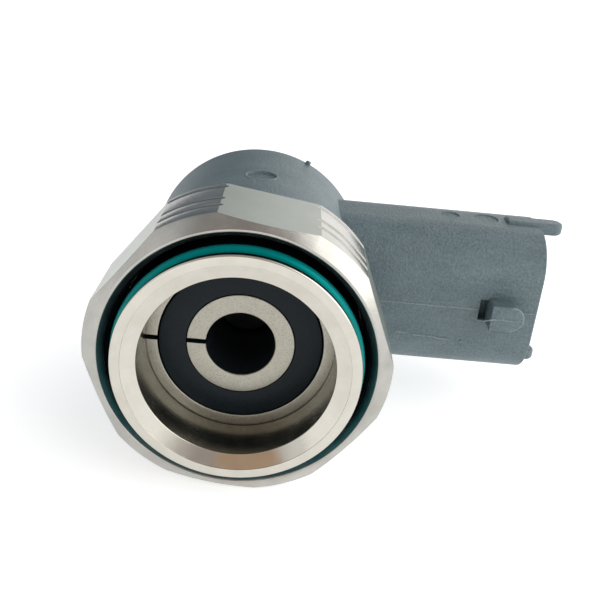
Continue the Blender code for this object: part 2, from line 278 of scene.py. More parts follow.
def loose_object(mesh: bmesh.types.BMesh, name: str) -> bpy.types.Object:
    """Link an object that holds a mesh, and free the mesh.

    Args:
        mesh: The mesh. It is freed.
        name: The object's name.

    Returns:
        The object, which holds a copy of the mesh.
    """
    data = bpy.data.meshes.new(name)
    mesh.to_mesh(data)
    mesh.free()
    made = bpy.data.objects.new(name, data)
    bpy.context.collection.objects.link(made)
    return made


# --------------------------------------------------------------------------- finishes


class NodeTree:
    """Small helper that adds and links the nodes of one material."""

    def __init__(self, name: str) -> None:
        """Make a material with an empty Principled shader.

        Args:
            name: The material's name.
        """
        self.material = bpy.data.materials.new(name)
        self.material.use_nodes = True
        self.tree = self.material.node_tree
        self.shader = self.tree.nodes["Principled BSDF"]

    def add(self, kind: str, **settings: object) -> bpy.types.Node:
        """Add a node and set its properties.

        Args:
            kind: The node's type name.
            settings: Properties of the node.

        Returns:
            The new node.
        """
        node = self.tree.nodes.new(kind)
        for key, value in settings.items():
            setattr(node, key, value)
        return node

    def link(self, source: bpy.types.NodeSocket, target: bpy.types.NodeSocket) -> None:
        """Link two sockets."""
        self.tree.links.new(source, target)

    def place_on_axis(self, axis: "ValveAxis") -> bpy.types.NodeSocket:
        """Return the place on the piece in millimetres about the valve's axis.

        Args:
            axis: The valve's axis.

        Returns:
            The place.
        """
        where = self.add("ShaderNodeTexCoord")
        centred = self.add("ShaderNodeMapping", vector_type="POINT")
        centred.inputs["Location"].default_value = [-value / MM for value in axis.origin]
        centred.inputs["Scale"].default_value = (1.0 / MM,) * 3
        self.link(where.outputs["Object"], centred.inputs["Vector"])
        return centred.outputs["Vector"]

    def stretched(self, place: bpy.types.NodeSocket, scale: Colour) -> bpy.types.NodeSocket:
        """Return a place multiplied by a scale on each axis.

        Args:
            place: The place to change.
            scale: Factors for x, y and z.

        Returns:
            The new place.
        """
        node = self.add("ShaderNodeMapping", vector_type="POINT")
        node.inputs["Scale"].default_value = scale
        self.link(place, node.inputs["Vector"])
        return node.outputs["Vector"]

    def turned_place(self, place: bpy.types.NodeSocket) -> bpy.types.NodeSocket:
        """Return radius and y of a place, on which a lathe's tool marks are straight lines.

        Args:
            place: A place about the valve's axis.

        Returns:
            Radius as x and y as y.
        """
        parts = self.add("ShaderNodeSeparateXYZ")
        self.link(place, parts.inputs["Vector"])
        flat = self.add("ShaderNodeCombineXYZ")
        self.link(parts.outputs["X"], flat.inputs["X"])
        self.link(parts.outputs["Z"], flat.inputs["Y"])
        length = self.add("ShaderNodeVectorMath", operation="LENGTH")
        self.link(flat.outputs["Vector"], length.inputs[0])
        joined = self.add("ShaderNodeCombineXYZ")
        self.link(length.outputs["Value"], joined.inputs["X"])
        self.link(parts.outputs["Y"], joined.inputs["Y"])
        return joined.outputs["Vector"]

    def noise(self, place: bpy.types.NodeSocket, scale: float, detail: float = 3.0,
              roughness: float = 0.5) -> bpy.types.NodeSocket:
        """Return a noise between 0 and 1.

        Args:
            place: Where the noise is read.
            scale: Waves for each unit of the place.
            detail: Octaves of finer noise.
            roughness: Strength of the finer noise.

        Returns:
            The noise's value.
        """
        node = self.add("ShaderNodeTexNoise", noise_dimensions="3D")
        node.inputs["Scale"].default_value = scale
        node.inputs["Detail"].default_value = detail
        node.inputs["Roughness"].default_value = roughness
        self.link(place, node.inputs["Vector"])
        return node.outputs["Fac"]

    def ramp(self, value: bpy.types.NodeSocket, low: float, high: float, to_low: float,
             to_high: float) -> bpy.types.NodeSocket:
        """Return a value moved from one range to another, held at its ends.

        Args:
            value: The value.
            low: Value that becomes the first end.
            high: Value that becomes the second end.
            to_low: The first end.
            to_high: The second end.

        Returns:
            The new value.
        """
        node = self.add("ShaderNodeMapRange", clamp=True)
        for name, number in (("From Min", low), ("From Max", high), ("To Min", to_low),
                             ("To Max", to_high)):
            node.inputs[name].default_value = number
        self.link(value, node.inputs["Value"])
        return node.outputs["Result"]

    def blend(self, factor: bpy.types.NodeSocket, first: Colour | bpy.types.NodeSocket,
              second: Colour) -> bpy.types.NodeSocket:
        """Return a colour between two.

        Args:
            factor: Share of the second colour.
            first: A colour, or a socket that gives one.
            second: The second colour.

        Returns:
            The mixed colour.
        """
        node = self.add("ShaderNodeMix", data_type="RGBA")
        if isinstance(first, bpy.types.NodeSocket):
            self.link(first, node.inputs["A"])
        else:
            node.inputs["A"].default_value = (*first, 1.0)
        node.inputs["B"].default_value = (*second, 1.0)
        self.link(factor, node.inputs["Factor"])
        return node.outputs["Result"]

    def total(self, first: bpy.types.NodeSocket, second: bpy.types.NodeSocket,
              share: float) -> bpy.types.NodeSocket:
        """Return the first value plus a share of the second.

        Args:
            first: The first value.
            second: The second value.
            share: Share of the second value.

        Returns:
            The sum.
        """
        node = self.add("ShaderNodeMath", operation="MULTIPLY_ADD")
        self.link(second, node.inputs[0])
        node.inputs[1].default_value = share
        self.link(first, node.inputs[2])
        return node.outputs["Value"]

    def bump(self, height: bpy.types.NodeSocket, depth: float) -> bpy.types.NodeSocket:
        """Return a normal bent by a height.

        Args:
            height: Height between 0 and 1.
            depth: Millimetres from the lowest to the highest.

        Returns:
            The new normal.
        """
        node = self.add("ShaderNodeBump")
        node.inputs["Strength"].default_value = 1.0
        node.inputs["Distance"].default_value = depth * MM
        self.link(height, node.inputs["Height"])
        return node.outputs["Normal"]

    def set(self, **values: object) -> None:
        """Set sockets of the shader, named with underscores for spaces.

        Args:
            values: A number, colour or socket for each named socket.
        """
        for key, value in values.items():
            socket = self.shader.inputs[key.replace("_", " ")]
            if isinstance(value, bpy.types.NodeSocket):
                self.link(value, socket)
            else:
                socket.default_value = value


@dataclass(frozen=True)
class Finish:
    """A surface whose patterns are placed about the valve's axis."""

    name: str

    def make(self, axis: "ValveAxis") -> bpy.types.Material:
        """Make the finish's material.

        Args:
            axis: The valve's axis.

        Returns:
            The new material.
        """
        tree = NodeTree(self.name)
        self.shade(tree, tree.place_on_axis(axis))
        return tree.material

    def shade(self, tree: NodeTree, place: bpy.types.NodeSocket) -> None:
        """Set the shader. Each finish has its own way."""
        raise NotImplementedError


@dataclass(frozen=True)
class TurnedMetal(Finish):
    """Metal with a lathe's fine rings, rubbed a little brighter in places."""

    colour: Colour
    dark: Colour
    roughness: tuple[float, float]
    ring_pitch: float = 0.06
    ring_depth: float = 0.004

    def shade(self, tree: NodeTree, place: bpy.types.NodeSocket) -> None:
        """Set the shader.

        Args:
            tree: The material's nodes.
            place: Place on the piece in millimetres about the axis.
        """
        rings = tree.noise(tree.turned_place(place), 1.0 / self.ring_pitch, 2.0, 0.6)
        broad = tree.noise(tree.turned_place(place), 2.2, 2.0)
        patches = tree.noise(place, 0.35, 4.0, 0.6)
        tint = tree.total(tree.ramp(patches, 0.3, 0.7, 0.0, 0.7), broad, 0.3)
        tree.set(Base_Color=tree.blend(tint, self.dark, self.colour), Metallic=1.0,
                 Roughness=tree.ramp(tree.total(patches, rings, 0.6), 0.5, 1.1, *self.roughness),
                 Normal=tree.bump(rings, self.ring_depth))


@dataclass(frozen=True)
class MilledMetal(Finish):
    """Metal with a cutter's straight marks along the valve's axis."""

    colour: Colour
    dark: Colour
    roughness: tuple[float, float]

    def shade(self, tree: NodeTree, place: bpy.types.NodeSocket) -> None:
        """Set the shader.

        Args:
            tree: The material's nodes.
            place: Place on the piece in millimetres about the axis.
        """
        marks = tree.noise(tree.stretched(place, (9.0, 0.5, 9.0)), 1.0, 3.0, 0.6)
        cross = tree.noise(tree.stretched(place, (0.4, 7.0, 0.4)), 1.0, 2.0)
        patches = tree.noise(place, 0.3, 4.0, 0.6)
        tint = tree.total(tree.ramp(patches, 0.3, 0.7, 0.0, 0.8), marks, 0.25)
        grain = tree.noise(place, 5.0, 3.0, 0.7)
        fine = tree.total(tree.total(marks, cross, 0.5), grain, 0.8)
        tree.set(Base_Color=tree.blend(tint, self.dark, self.colour), Metallic=1.0,
                 Roughness=tree.ramp(fine, 0.7, 1.6, *self.roughness),
                 Normal=tree.bump(fine, 0.005))


@dataclass(frozen=True)
class SinteredMetal(Finish):
    """Pressed iron powder: matt, with small pores and soft stains."""

    colour: Colour
    pore: Colour
    metallic: float
    specular: float = 0.5

    def shade(self, tree: NodeTree, place: bpy.types.NodeSocket) -> None:
        """Set the shader.

        Args:
            tree: The material's nodes.
            place: Place on the piece in millimetres about the axis.
        """
        grain = tree.noise(place, 5.5, 4.0, 0.75)
        pores = tree.noise(place, 13.0, 2.0, 0.8)
        stains = tree.noise(place, 0.9, 4.0, 0.65)
        speck = tree.total(tree.ramp(grain, 0.34, 0.5, 0.0, 0.6), stains, 0.55)
        tree.set(Base_Color=tree.blend(speck, self.pore, self.colour), Metallic=self.metallic,
                 Roughness=tree.ramp(pores, 0.3, 0.7, 0.46, 0.28),
                 Specular_IOR_Level=self.specular,
                 Normal=tree.bump(tree.total(grain, pores, 0.6), 0.006))


@dataclass(frozen=True)
class MouldedPlastic(Finish):
    """Moulded plastic with an eroded mould's grain, pale fibre specks and soft flow marks."""

    colour: Colour
    dark: Colour
    fleck: Colour
    roughness: tuple[float, float]
    texture_depth: float
    fleck_share: float
    specular: float

    def shade(self, tree: NodeTree, place: bpy.types.NodeSocket) -> None:
        """Set the shader.

        Args:
            tree: The material's nodes.
            place: Place on the piece in millimetres about the axis.
        """
        flow = tree.noise(tree.stretched(place, (0.12, 0.3, 0.3)), 1.0, 3.0, 0.55)
        mottle = tree.noise(place, 3.0, 2.0, 0.6)
        fine = tree.noise(place, 8.0, 3.0, 0.7)
        flecks = tree.noise(tree.stretched(place, (2.4, 3.6, 3.6)), 1.0, 3.0, 0.85)
        shade = tree.total(tree.ramp(flow, 0.3, 0.7, 0.0, 0.45),
                           tree.ramp(mottle, 0.36, 0.64, 0.0, 1.0), 0.55)
        body = tree.blend(shade, self.dark, self.colour)
        flecked = tree.blend(tree.ramp(flecks, 0.56, 0.72, 0.0, self.fleck_share), body,
                             self.fleck)
        tree.set(Base_Color=flecked, Specular_IOR_Level=self.specular,
                 Roughness=tree.ramp(mottle, 0.3, 0.7, *self.roughness),
                 Normal=tree.bump(tree.total(mottle, fine, 0.7), self.texture_depth))


@dataclass(frozen=True)
class SealRubber(Finish):
    """Smooth moulded rubber with a faint bloom."""

    colour: Colour
    bloom: Colour
    roughness: tuple[float, float]
    specular: float
    gloss_tint: Colour = (1.0, 1.0, 1.0)

    def shade(self, tree: NodeTree, place: bpy.types.NodeSocket) -> None:
        """Set the shader.

        Args:
            tree: The material's nodes.
            place: Place on the piece in millimetres about the axis.
        """
        dust = tree.noise(place, 0.9, 5.0, 0.7)
        fine = tree.noise(place, 9.0, 2.0, 0.6)
        tree.set(Base_Color=tree.blend(tree.ramp(dust, 0.45, 0.8, 0.0, 0.5), self.colour,
                                       self.bloom),
                 Roughness=tree.ramp(dust, 0.3, 0.7, *self.roughness),
                 Specular_IOR_Level=self.specular, Specular_Tint=(*self.gloss_tint, 1.0),
                 Normal=tree.bump(fine, 0.003))


@dataclass(frozen=True)
class LacqueredWire(Finish):
    """Copper under a thin coat of lacquer."""

    colour: Colour
    dark: Colour

    def shade(self, tree: NodeTree, place: bpy.types.NodeSocket) -> None:
        """Set the shader.

        Args:
            tree: The material's nodes.
            place: Place on the piece in millimetres about the axis.
        """
        tint = tree.noise(tree.turned_place(place), 4.0, 3.0, 0.6)
        tree.set(Base_Color=tree.blend(tint, self.dark, self.colour), Metallic=1.0,
                 Roughness=tree.ramp(tint, 0.3, 0.7, 0.25, 0.4), Coat_Weight=0.6,
                 Coat_Roughness=0.12, Normal=tree.bump(tint, 0.004))


NUT_TURNED = TurnedMetal("nut_turned", (0.49, 0.48, 0.45), (0.35, 0.34, 0.31), (0.17, 0.28),
                         0.09, 0.004)
NUT_MILLED = MilledMetal("nut_milled", (0.48, 0.5, 0.455), (0.43, 0.445, 0.4), (0.28, 0.38))
# Darker, bluish copy of the nut's turned metal for the countersink in the mouth: painted shade.
MOUTH_SHADE_METAL = TurnedMetal("nut_mouth_painted_shade", (0.34, 0.35, 0.38), (0.24, 0.25, 0.28), (0.3, 0.4))
SLEEVE_TURNED = TurnedMetal("sleeve_turned", (0.63, 0.605, 0.545), (0.53, 0.505, 0.44),
                            (0.07, 0.15), 0.06, 0.0012)
# Darker, olive copy of the sleeve's turned metal for its inner wall: painted shade inside the
# bore.
SLEEVE_WALL_SHADE = TurnedMetal("sleeve_wall_painted_shade", (0.44, 0.42, 0.365), (0.25, 0.24, 0.2), (0.17, 0.3),
                          0.09, 0.003)
SPRING_STEEL = TurnedMetal("spring_steel", (0.07, 0.078, 0.085), (0.03, 0.034, 0.038),
                           (0.25, 0.4))
CORE_IRON = SinteredMetal("ground_iron", (0.44, 0.424, 0.362), (0.2, 0.19, 0.16), 0.9)
# Near-black, unmetallic copy of the core's iron for its bore, slots and back: painted shade in
# those recesses.
PRESSED_IRON_PAINTED_SHADE = SinteredMetal("pressed_iron_painted_shade", (0.012, 0.016, 0.02), (0.006, 0.008, 0.01), 0.0,
                             0.2)
# Near-black sheet of painted shade for the nut's bore and the sleeve's outside under the nut.
PAINTED_SHADE_METAL = SinteredMetal("painted_shade_metal", (0.006, 0.008, 0.011), (0.003, 0.004, 0.005), 0.0,
                            0.12)
COVER_PLASTIC = MouldedPlastic("coil_cover_plastic", (0.006, 0.012, 0.016), (0.004, 0.008, 0.011),
                               (0.03, 0.038, 0.04), (0.3, 0.42), 0.006, 0.15, 0.17)
INSERT_PLASTIC = MouldedPlastic("insert_plastic", (0.03, 0.035, 0.038), (0.018, 0.02, 0.022),
                                (0.09, 0.1, 0.1), (0.4, 0.55), 0.008, 0.2, 0.4)
HOUSING_PLASTIC = MouldedPlastic("housing_plastic", (0.130, 0.186, 0.2), (0.05, 0.088, 0.106),
                                 (0.3, 0.36, 0.37), (0.34, 0.5), 0.12, 0.25, 0.68)
# Paler plastic for the mould's thin flash and burr, also used as a painted highlight on the
# latch's rim.
FLASH_AND_HIGHLIGHT_PLASTIC = MouldedPlastic("flash_and_highlight_plastic", (0.27, 0.32, 0.33), (0.16, 0.2, 0.215),
                               (0.36, 0.4, 0.4), (0.5, 0.6), 0.01, 0.4, 0.3)
TEAL_RUBBER = SealRubber("teal_rubber", (0.0, 0.15, 0.145), (0.0, 0.22, 0.205), (0.16, 0.24), 0.7,
                         (0.0, 0.95, 0.9))
BLACK_RUBBER = SealRubber("black_rubber", (0.012, 0.012, 0.012), (0.03, 0.03, 0.03), (0.4, 0.5),
                          0.5)
COPPER = LacqueredWire("lacquered_copper", (0.72, 0.3, 0.13), (0.5, 0.17, 0.07))
TIN_PLATE = MilledMetal("tin_plate", (0.72, 0.69, 0.6), (0.58, 0.54, 0.44), (0.22, 0.34))


# --------------------------------------------------------------------------- the assembly


@dataclass(frozen=True)
class ValveAxis:
    """Where the valve's axis stands: its point at the sleeve's front rim, in metres."""

    origin: Vector

    @classmethod
    def of_frame(cls) -> "ValveAxis":
        """Read the axis from the frame's sleeve, which is turned about it."""
        low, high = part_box("magnet_sleeve")
        return cls(Vector((0.5 * (low[0] + high[0]), low[1], 0.5 * (low[2] + high[2]))))

    def put(self, mesh: bmesh.types.BMesh, name: str, sharp: float = 30.0) -> bpy.types.Object:
        """Turn a mesh in millimetres into a finished object in the row's frame.

        Args:
            mesh: The mesh about the valve's axis. It is used up.
            name: The piece's name.
            sharp: Angle in degrees past which an edge is shaded sharp.

        Returns:
            The object, at the origin, with its place in its mesh.
        """
        for edge in mesh.edges:
            if edge.is_manifold and edge.calc_face_angle() > math.radians(sharp):
                edge.smooth = False
        for face in mesh.faces:
            face.smooth = True
        bmesh.ops.transform(mesh, matrix=Matrix.Translation(self.origin) @ Matrix.Scale(MM, 4),
                            verts=mesh.verts)
        return loose_object(mesh, name)


def dress(piece: bpy.types.Object, body: Body, materials: list[bpy.types.Material],
          nodes: tuple[str, ...]) -> bpy.types.Object:
    """Give a piece its materials and its body, and hide the frame's nodes that it stands for.

    Args:
        piece: The finished piece.
        body: The body that it moves with.
        materials: Materials in the order of the mesh's material numbers.
        nodes: Nodes of the frame that the piece replaces.

    Returns:
        The same piece.
    """
    for material in materials:
        piece.data.materials.append(material)
    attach(piece, body.value)
    if nodes:
        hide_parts(*nodes)
    LOG.info("%s: %d faces on %s", piece.name, len(piece.data.polygons), body.value)
    return piece


@dataclass
class UnionNut:
    """Captive hexagon nut, turned from bar with rough corners and milled flats."""

    flat_distance: float = 15.0
    corner_radius: float = 15.82
    flat_angle: float = 81.84
    front: float = 1.72
    rear: float = 12.21
    mouth_radius: float = 14.22
    face_radius: float = 14.4
    chamfer_run: float = 0.97
    countersink: tuple[float, float] = (13.5, 2.6)
    lip_radius: float = 12.35
    lip_front: float = 10.65
    relief_radius: float = 14.0
    relief_front: float = 8.4
    thread_front: float = 2.7
    thread_minor: float = 13.15
    thread_major: float = 13.95
    thread_pitch: float = 1.5
    groove_depth: float = 0.11
    grooves: tuple[tuple[float, float], ...] = ((11.25, 1.0), (7.3, 0.9), (5.15, 0.9))
    groove_form: tuple[tuple[float, float], ...] = (
        (-0.62, 0.0), (-0.12, 0.75), (0.12, 1.0), (0.24, 0.8), (0.38, 0.0))
    thread_fade: float = 0.5
    thread_flank: tuple[float, float] = (2.6, 0.15)
    thread_rings: int = 42

    def profile(self) -> Profile:
        """Return the blank's profile, from the mouth over the outside and back through the bore.

        Returns:
            Radius and y of each point, as a closed loop.
        """
        outer = [(*self.countersink, 0.0), (self.mouth_radius - 0.08, self.front, 0.2),
                 (self.face_radius, self.front, 0.05),
                 (self.corner_radius, self.front + self.chamfer_run, 0.12)]
        points = filleted([*outer, (self.corner_radius, self.rear, 0.0)], 4)[:-1]
        for y, width in sorted(self.grooves):
            points += [(self.corner_radius - share * self.groove_depth, y + along * width)
                       for along, share in self.groove_form]
        # The first corner only gives the next one's fillet its direction, and is left out.
        points += filleted([(self.corner_radius, self.front + 5.0, 0.0),
                            (self.corner_radius, self.rear, 0.12),
                            (self.lip_radius, self.rear, 0.15),
                            (self.lip_radius, self.lip_front, 0.1),
                            (self.relief_radius, self.lip_front, 0.3),
                            (self.relief_radius, self.relief_front, 0.0)], 4)[1:]
        rings = self.thread_rings
        for ring in range(1, rings):
            y = self.relief_front + (self.thread_front - self.relief_front) * ring / rings
            points.append((self.thread_major, y))
        points.append((self.thread_major, self.thread_front))
        return points

    def cut_thread(self, mesh: bmesh.types.BMesh) -> None:
        """Move the bore's rings into a sixty degree thread that turns with the axis.

        Args:
            mesh: The turned blank.
        """
        steepness, root = self.thread_flank
        for vert in mesh.verts:
            radius = math.hypot(vert.co.x, vert.co.z)
            inside = self.thread_front - 0.01 < vert.co.y < self.relief_front - 0.01
            if not inside or abs(radius - self.thread_major) > 0.02:
                continue
            turn = math.atan2(vert.co.z, vert.co.x) / (2.0 * math.pi)
            phase = (vert.co.y / self.thread_pitch + turn) % 1.0
            flank = min(1.0, max(0.0, steepness * abs(phase - 0.5) - root))
            fade = min(1.0, (vert.co.y - self.thread_front) / self.thread_fade)
            wanted = self.thread_major - fade * flank * (self.thread_major - self.thread_minor)
            vert.co.x *= wanted / radius
            vert.co.z *= wanted / radius

    def cut_flats(self, mesh: bmesh.types.BMesh) -> None:
        """Slice six flats off the blank and close each with one face of the second material.

        Args:
            mesh: The turned blank.
        """
        for side in range(6):
            angle = math.radians(self.flat_angle + 60.0 * side)
            normal = Vector((math.cos(angle), 0.0, math.sin(angle)))
            geometry = mesh.verts[:] + mesh.edges[:] + mesh.faces[:]
            sliced = bmesh.ops.bisect_plane(mesh, geom=geometry, dist=1e-5, clear_outer=True,
                                            plane_co=normal * self.flat_distance, plane_no=normal)
            rim = [item for item in sliced["geom_cut"] if isinstance(item, bmesh.types.BMEdge)]
            filled = bmesh.ops.contextual_create(mesh, geom=rim)
            for face in filled["faces"]:
                face.material_index = 1
                for edge in face.edges:
                    edge.smooth = False

    def mark_bore(self, mesh: bmesh.types.BMesh) -> None:
        """Give the bore the third material and the countersink in front of it the fourth, both
        painted shade.

        Args:
            mesh: The turned blank.
        """
        for face in mesh.faces:
            middle = face.calc_center_median()
            radius = math.hypot(middle.x, middle.z)
            # The bore gets the near-black painted shade; the countersink gets the darker bluish
            # painted shade.
            if radius < self.relief_radius + 0.02:
                face.material_index = 3 if middle.y < self.countersink[1] else 2

    def build(self, axis: ValveAxis) -> bpy.types.Object:
        """Build and dress the nut.

        Args:
            axis: The valve's axis.

        Returns:
            The finished nut.
        """
        mesh = turned(self.profile(), 300)
        self.cut_thread(mesh)
        self.mark_bore(mesh)
        self.cut_flats(mesh)
        bmesh.ops.recalc_face_normals(mesh, faces=mesh.faces)
        piece = axis.put(mesh, "union_nut_finished", 28.0)
        return dress(piece, Body.NUT,
                     [NUT_TURNED.make(axis), NUT_MILLED.make(axis), PAINTED_SHADE_METAL.make(axis),
                      MOUTH_SHADE_METAL.make(axis)],
                     ("union_nut",))


@dataclass
class MagnetSleeve:
    """Turned sleeve that holds the pot core, with its two sealing rings."""

    radius: float = 12.5
    mouth_radius: float = 11.45
    bore_radius: float = 9.95
    cone_end: float = 0.68
    mouth_step: float = 0.07
    house_radius: float = 10.55
    ledge: float = 6.08
    groove: tuple[float, float] = (0.9, 2.9)
    groove_radius: float = 11.1
    collar: tuple[float, float] = (8.6, 10.3)
    collar_radius: float = 13.3
    neck_radius: float = 12.0
    rear_groove: tuple[float, float] = (13.6, 15.4)
    rear_groove_radius: float = 11.3
    end: float = 20.8
    rolled_radius: float = 9.9
    rolled_front: float = 20.0

    def profile(self) -> Profile:
        """Return the sleeve's profile, from its mouth over the outside and back inside.

        Returns:
            Radius and y of each point, as a closed loop.
        """
        corners = [
            (self.mouth_radius, 0.0, 0.03), (self.radius, 0.0, 0.18),
            (self.radius, self.groove[0], 0.08), (self.groove_radius, self.groove[0], 0.2),
            (self.groove_radius, self.groove[1], 0.2), (self.radius, self.groove[1], 0.08),
            (self.radius, self.collar[0], 0.3), (self.collar_radius, self.collar[0], 0.1),
            (self.collar_radius, self.collar[1], 0.15), (self.neck_radius, self.collar[1], 0.2),
            (self.neck_radius, self.rear_groove[0], 0.06),
            (self.rear_groove_radius, self.rear_groove[0], 0.15),
            (self.rear_groove_radius, self.rear_groove[1], 0.15),
            (self.neck_radius, self.rear_groove[1], 0.06), (self.neck_radius, self.end, 0.7),
            (self.rolled_radius, self.end, 0.25), (self.rolled_radius, self.rolled_front, 0.0),
            (self.house_radius, self.rolled_front, 0.0), (self.house_radius, self.ledge, 0.15),
            (self.bore_radius, self.ledge, 0.1), (self.bore_radius, self.cone_end, 0.12),
            (self.mouth_radius, self.mouth_step, 0.02)]
        return filleted(corners, 6)

    def build(self, axis: ValveAxis) -> list[bpy.types.Object]:
        """Build and dress the sleeve and its rings.

        Args:
            axis: The valve's axis.

        Returns:
            The sleeve, its front ring and its rear ring.
        """
        body = turned(self.profile(), 300)
        # Painted shade: near-black on the outside under the nut (material 1), darker olive turned
        # metal on the inner wall (material 2).
        for face in body.faces:
            middle = face.calc_center_median()
            radius = math.hypot(middle.x, middle.z)
            if radius > self.house_radius + 0.1 and self.groove[0] < middle.y < self.collar[0]:
                face.material_index = 1
            elif abs(radius - self.bore_radius) < 0.05 and self.cone_end < middle.y < self.ledge:
                face.material_index = 2
        sleeve = axis.put(body, "magnet_sleeve_finished", 35.0)
        front = section_circle(12.12, 0.5 * sum(self.groove), 0.72, 28)
        ring = axis.put(turned(front, 300), "sleeve_o_ring_finished", 60.0)
        rear = section_circle(11.78, 0.5 * sum(self.rear_groove), 0.26, 16)
        back_ring = axis.put(turned(rear), "sleeve_rear_seal_finished", 60.0)
        return [
            dress(sleeve, Body.HEAD,
                  [SLEEVE_TURNED.make(axis), PAINTED_SHADE_METAL.make(axis), SLEEVE_WALL_SHADE.make(axis)],
                  ("magnet_sleeve",)),
            dress(ring, Body.HEAD, [TEAL_RUBBER.make(axis)], ("sleeve_o_ring",)),
            dress(back_ring, Body.HEAD, [BLACK_RUBBER.make(axis)],
                  ("sleeve_rear_seal",))]


@dataclass
class PotCore:
    """Slit pot core with the ring that covers its coil."""

    face: float = 6.2
    back: float = 17.0
    bore: float = 3.64
    outer: float = 10.3
    slot: tuple[float, float] = (5.68, 8.74)
    slot_floor: float = 13.5
    slit_half: float = 0.27
    tower: tuple[float, float, float] = (6.75, 2.5, 1.4)
    ground_depth: float = 0.16
    cover_gap: tuple[float, float] = (0.08, 0.14)
    cover_step: float = 0.04
    cover_back: float = 7.3

    def build(self, axis: ValveAxis) -> list[bpy.types.Object]:
        """Build and dress the core and its cover ring.

        Args:
            axis: The valve's axis.

        Returns:
            The core and its cover ring.
        """
        corners = [
            (self.bore, self.face, 0.14), (self.slot[0], self.face, 0.06),
            (self.slot[0], self.slot_floor, 0.3), (self.slot[1], self.slot_floor, 0.3),
            (self.slot[1], self.face, 0.1), (self.outer, self.face, 0.1),
            (self.outer, self.back, 0.15), (self.bore, self.back, 0.1)]
        slit = block(Vector((-12.0, 4.0, -self.slit_half)), Vector((-1.0, 19.0, self.slit_half)))
        x, z, radius = self.tower
        holes = [(Join.CUT, rod(Vector((x, 12.0, side * z)), Vector((x, 18.0, side * z)), radius))
                 for side in (-1, 1)]
        core = combined(turned(filleted(corners, 4), 216), [(Join.CUT, slit), *holes])
        # Every face deeper than the ground front face gets the near-black painted shade.
        for face in core.faces:
            if face.calc_center_median().y > self.face + self.ground_depth:
                face.material_index = 1
        inner, outer = self.slot[0] + self.cover_gap[0], self.slot[1] - self.cover_gap[1]
        front = self.face + self.cover_step
        cover = [(inner, front, 0.08), (outer, front, 0.1),
                 (outer, self.cover_back, 0.05), (inner, self.cover_back, 0.05)]
        ring = turned(filleted(cover, 4))
        return [
            dress(axis.put(core, "magnet_core_finished"), Body.HEAD,
                  [CORE_IRON.make(axis), PRESSED_IRON_PAINTED_SHADE.make(axis)], ("magnet_core",)),
            dress(axis.put(ring, "coil_cover_ring_finished"), Body.HEAD,
                  [COVER_PLASTIC.make(axis)], ("coil_cover_ring",))]


@dataclass
class Winding:
    """Layers of round wire on the bobbin."""

    first_radius: float = 6.82
    last_radius: float = 8.2
    front: float = 8.6
    back: float = 12.05
    wire: float = 0.17
    layer_step: float = 1.74
    turn_step: float = 2.04

    def build(self, axis: ValveAxis) -> bpy.types.Object:
        """Build and dress the turns as touching rings.

        Args:
            axis: The valve's axis.

        Returns:
            The finished winding.
        """
        mesh = bmesh.new()
        layers = int((self.last_radius - self.first_radius) / (self.layer_step * self.wire)) + 1
        for layer in range(layers):
            radius = self.first_radius + self.layer_step * self.wire * layer
            y = self.front + self.wire * (layer % 2)
            while y < self.back:
                self.add_turn(mesh, radius, y)
                y += self.turn_step * self.wire
        piece = axis.put(mesh, "coil_winding_finished", 80.0)
        return dress(piece, Body.HEAD, [COPPER.make(axis)], ("coil_winding",))

    def add_turn(self, mesh: bmesh.types.BMesh, radius: float, y: float) -> None:
        """Add one ring of wire.

        Args:
            mesh: The winding so far.
            radius: Distance of the wire from the axis.
            y: Place of the wire along the axis.
        """
        one = turned(section_circle(radius, y, self.wire, 8), 72)
        data = bpy.data.meshes.new("turn")
        one.to_mesh(data)
        one.free()
        mesh.from_mesh(data)
        bpy.data.meshes.remove(data)


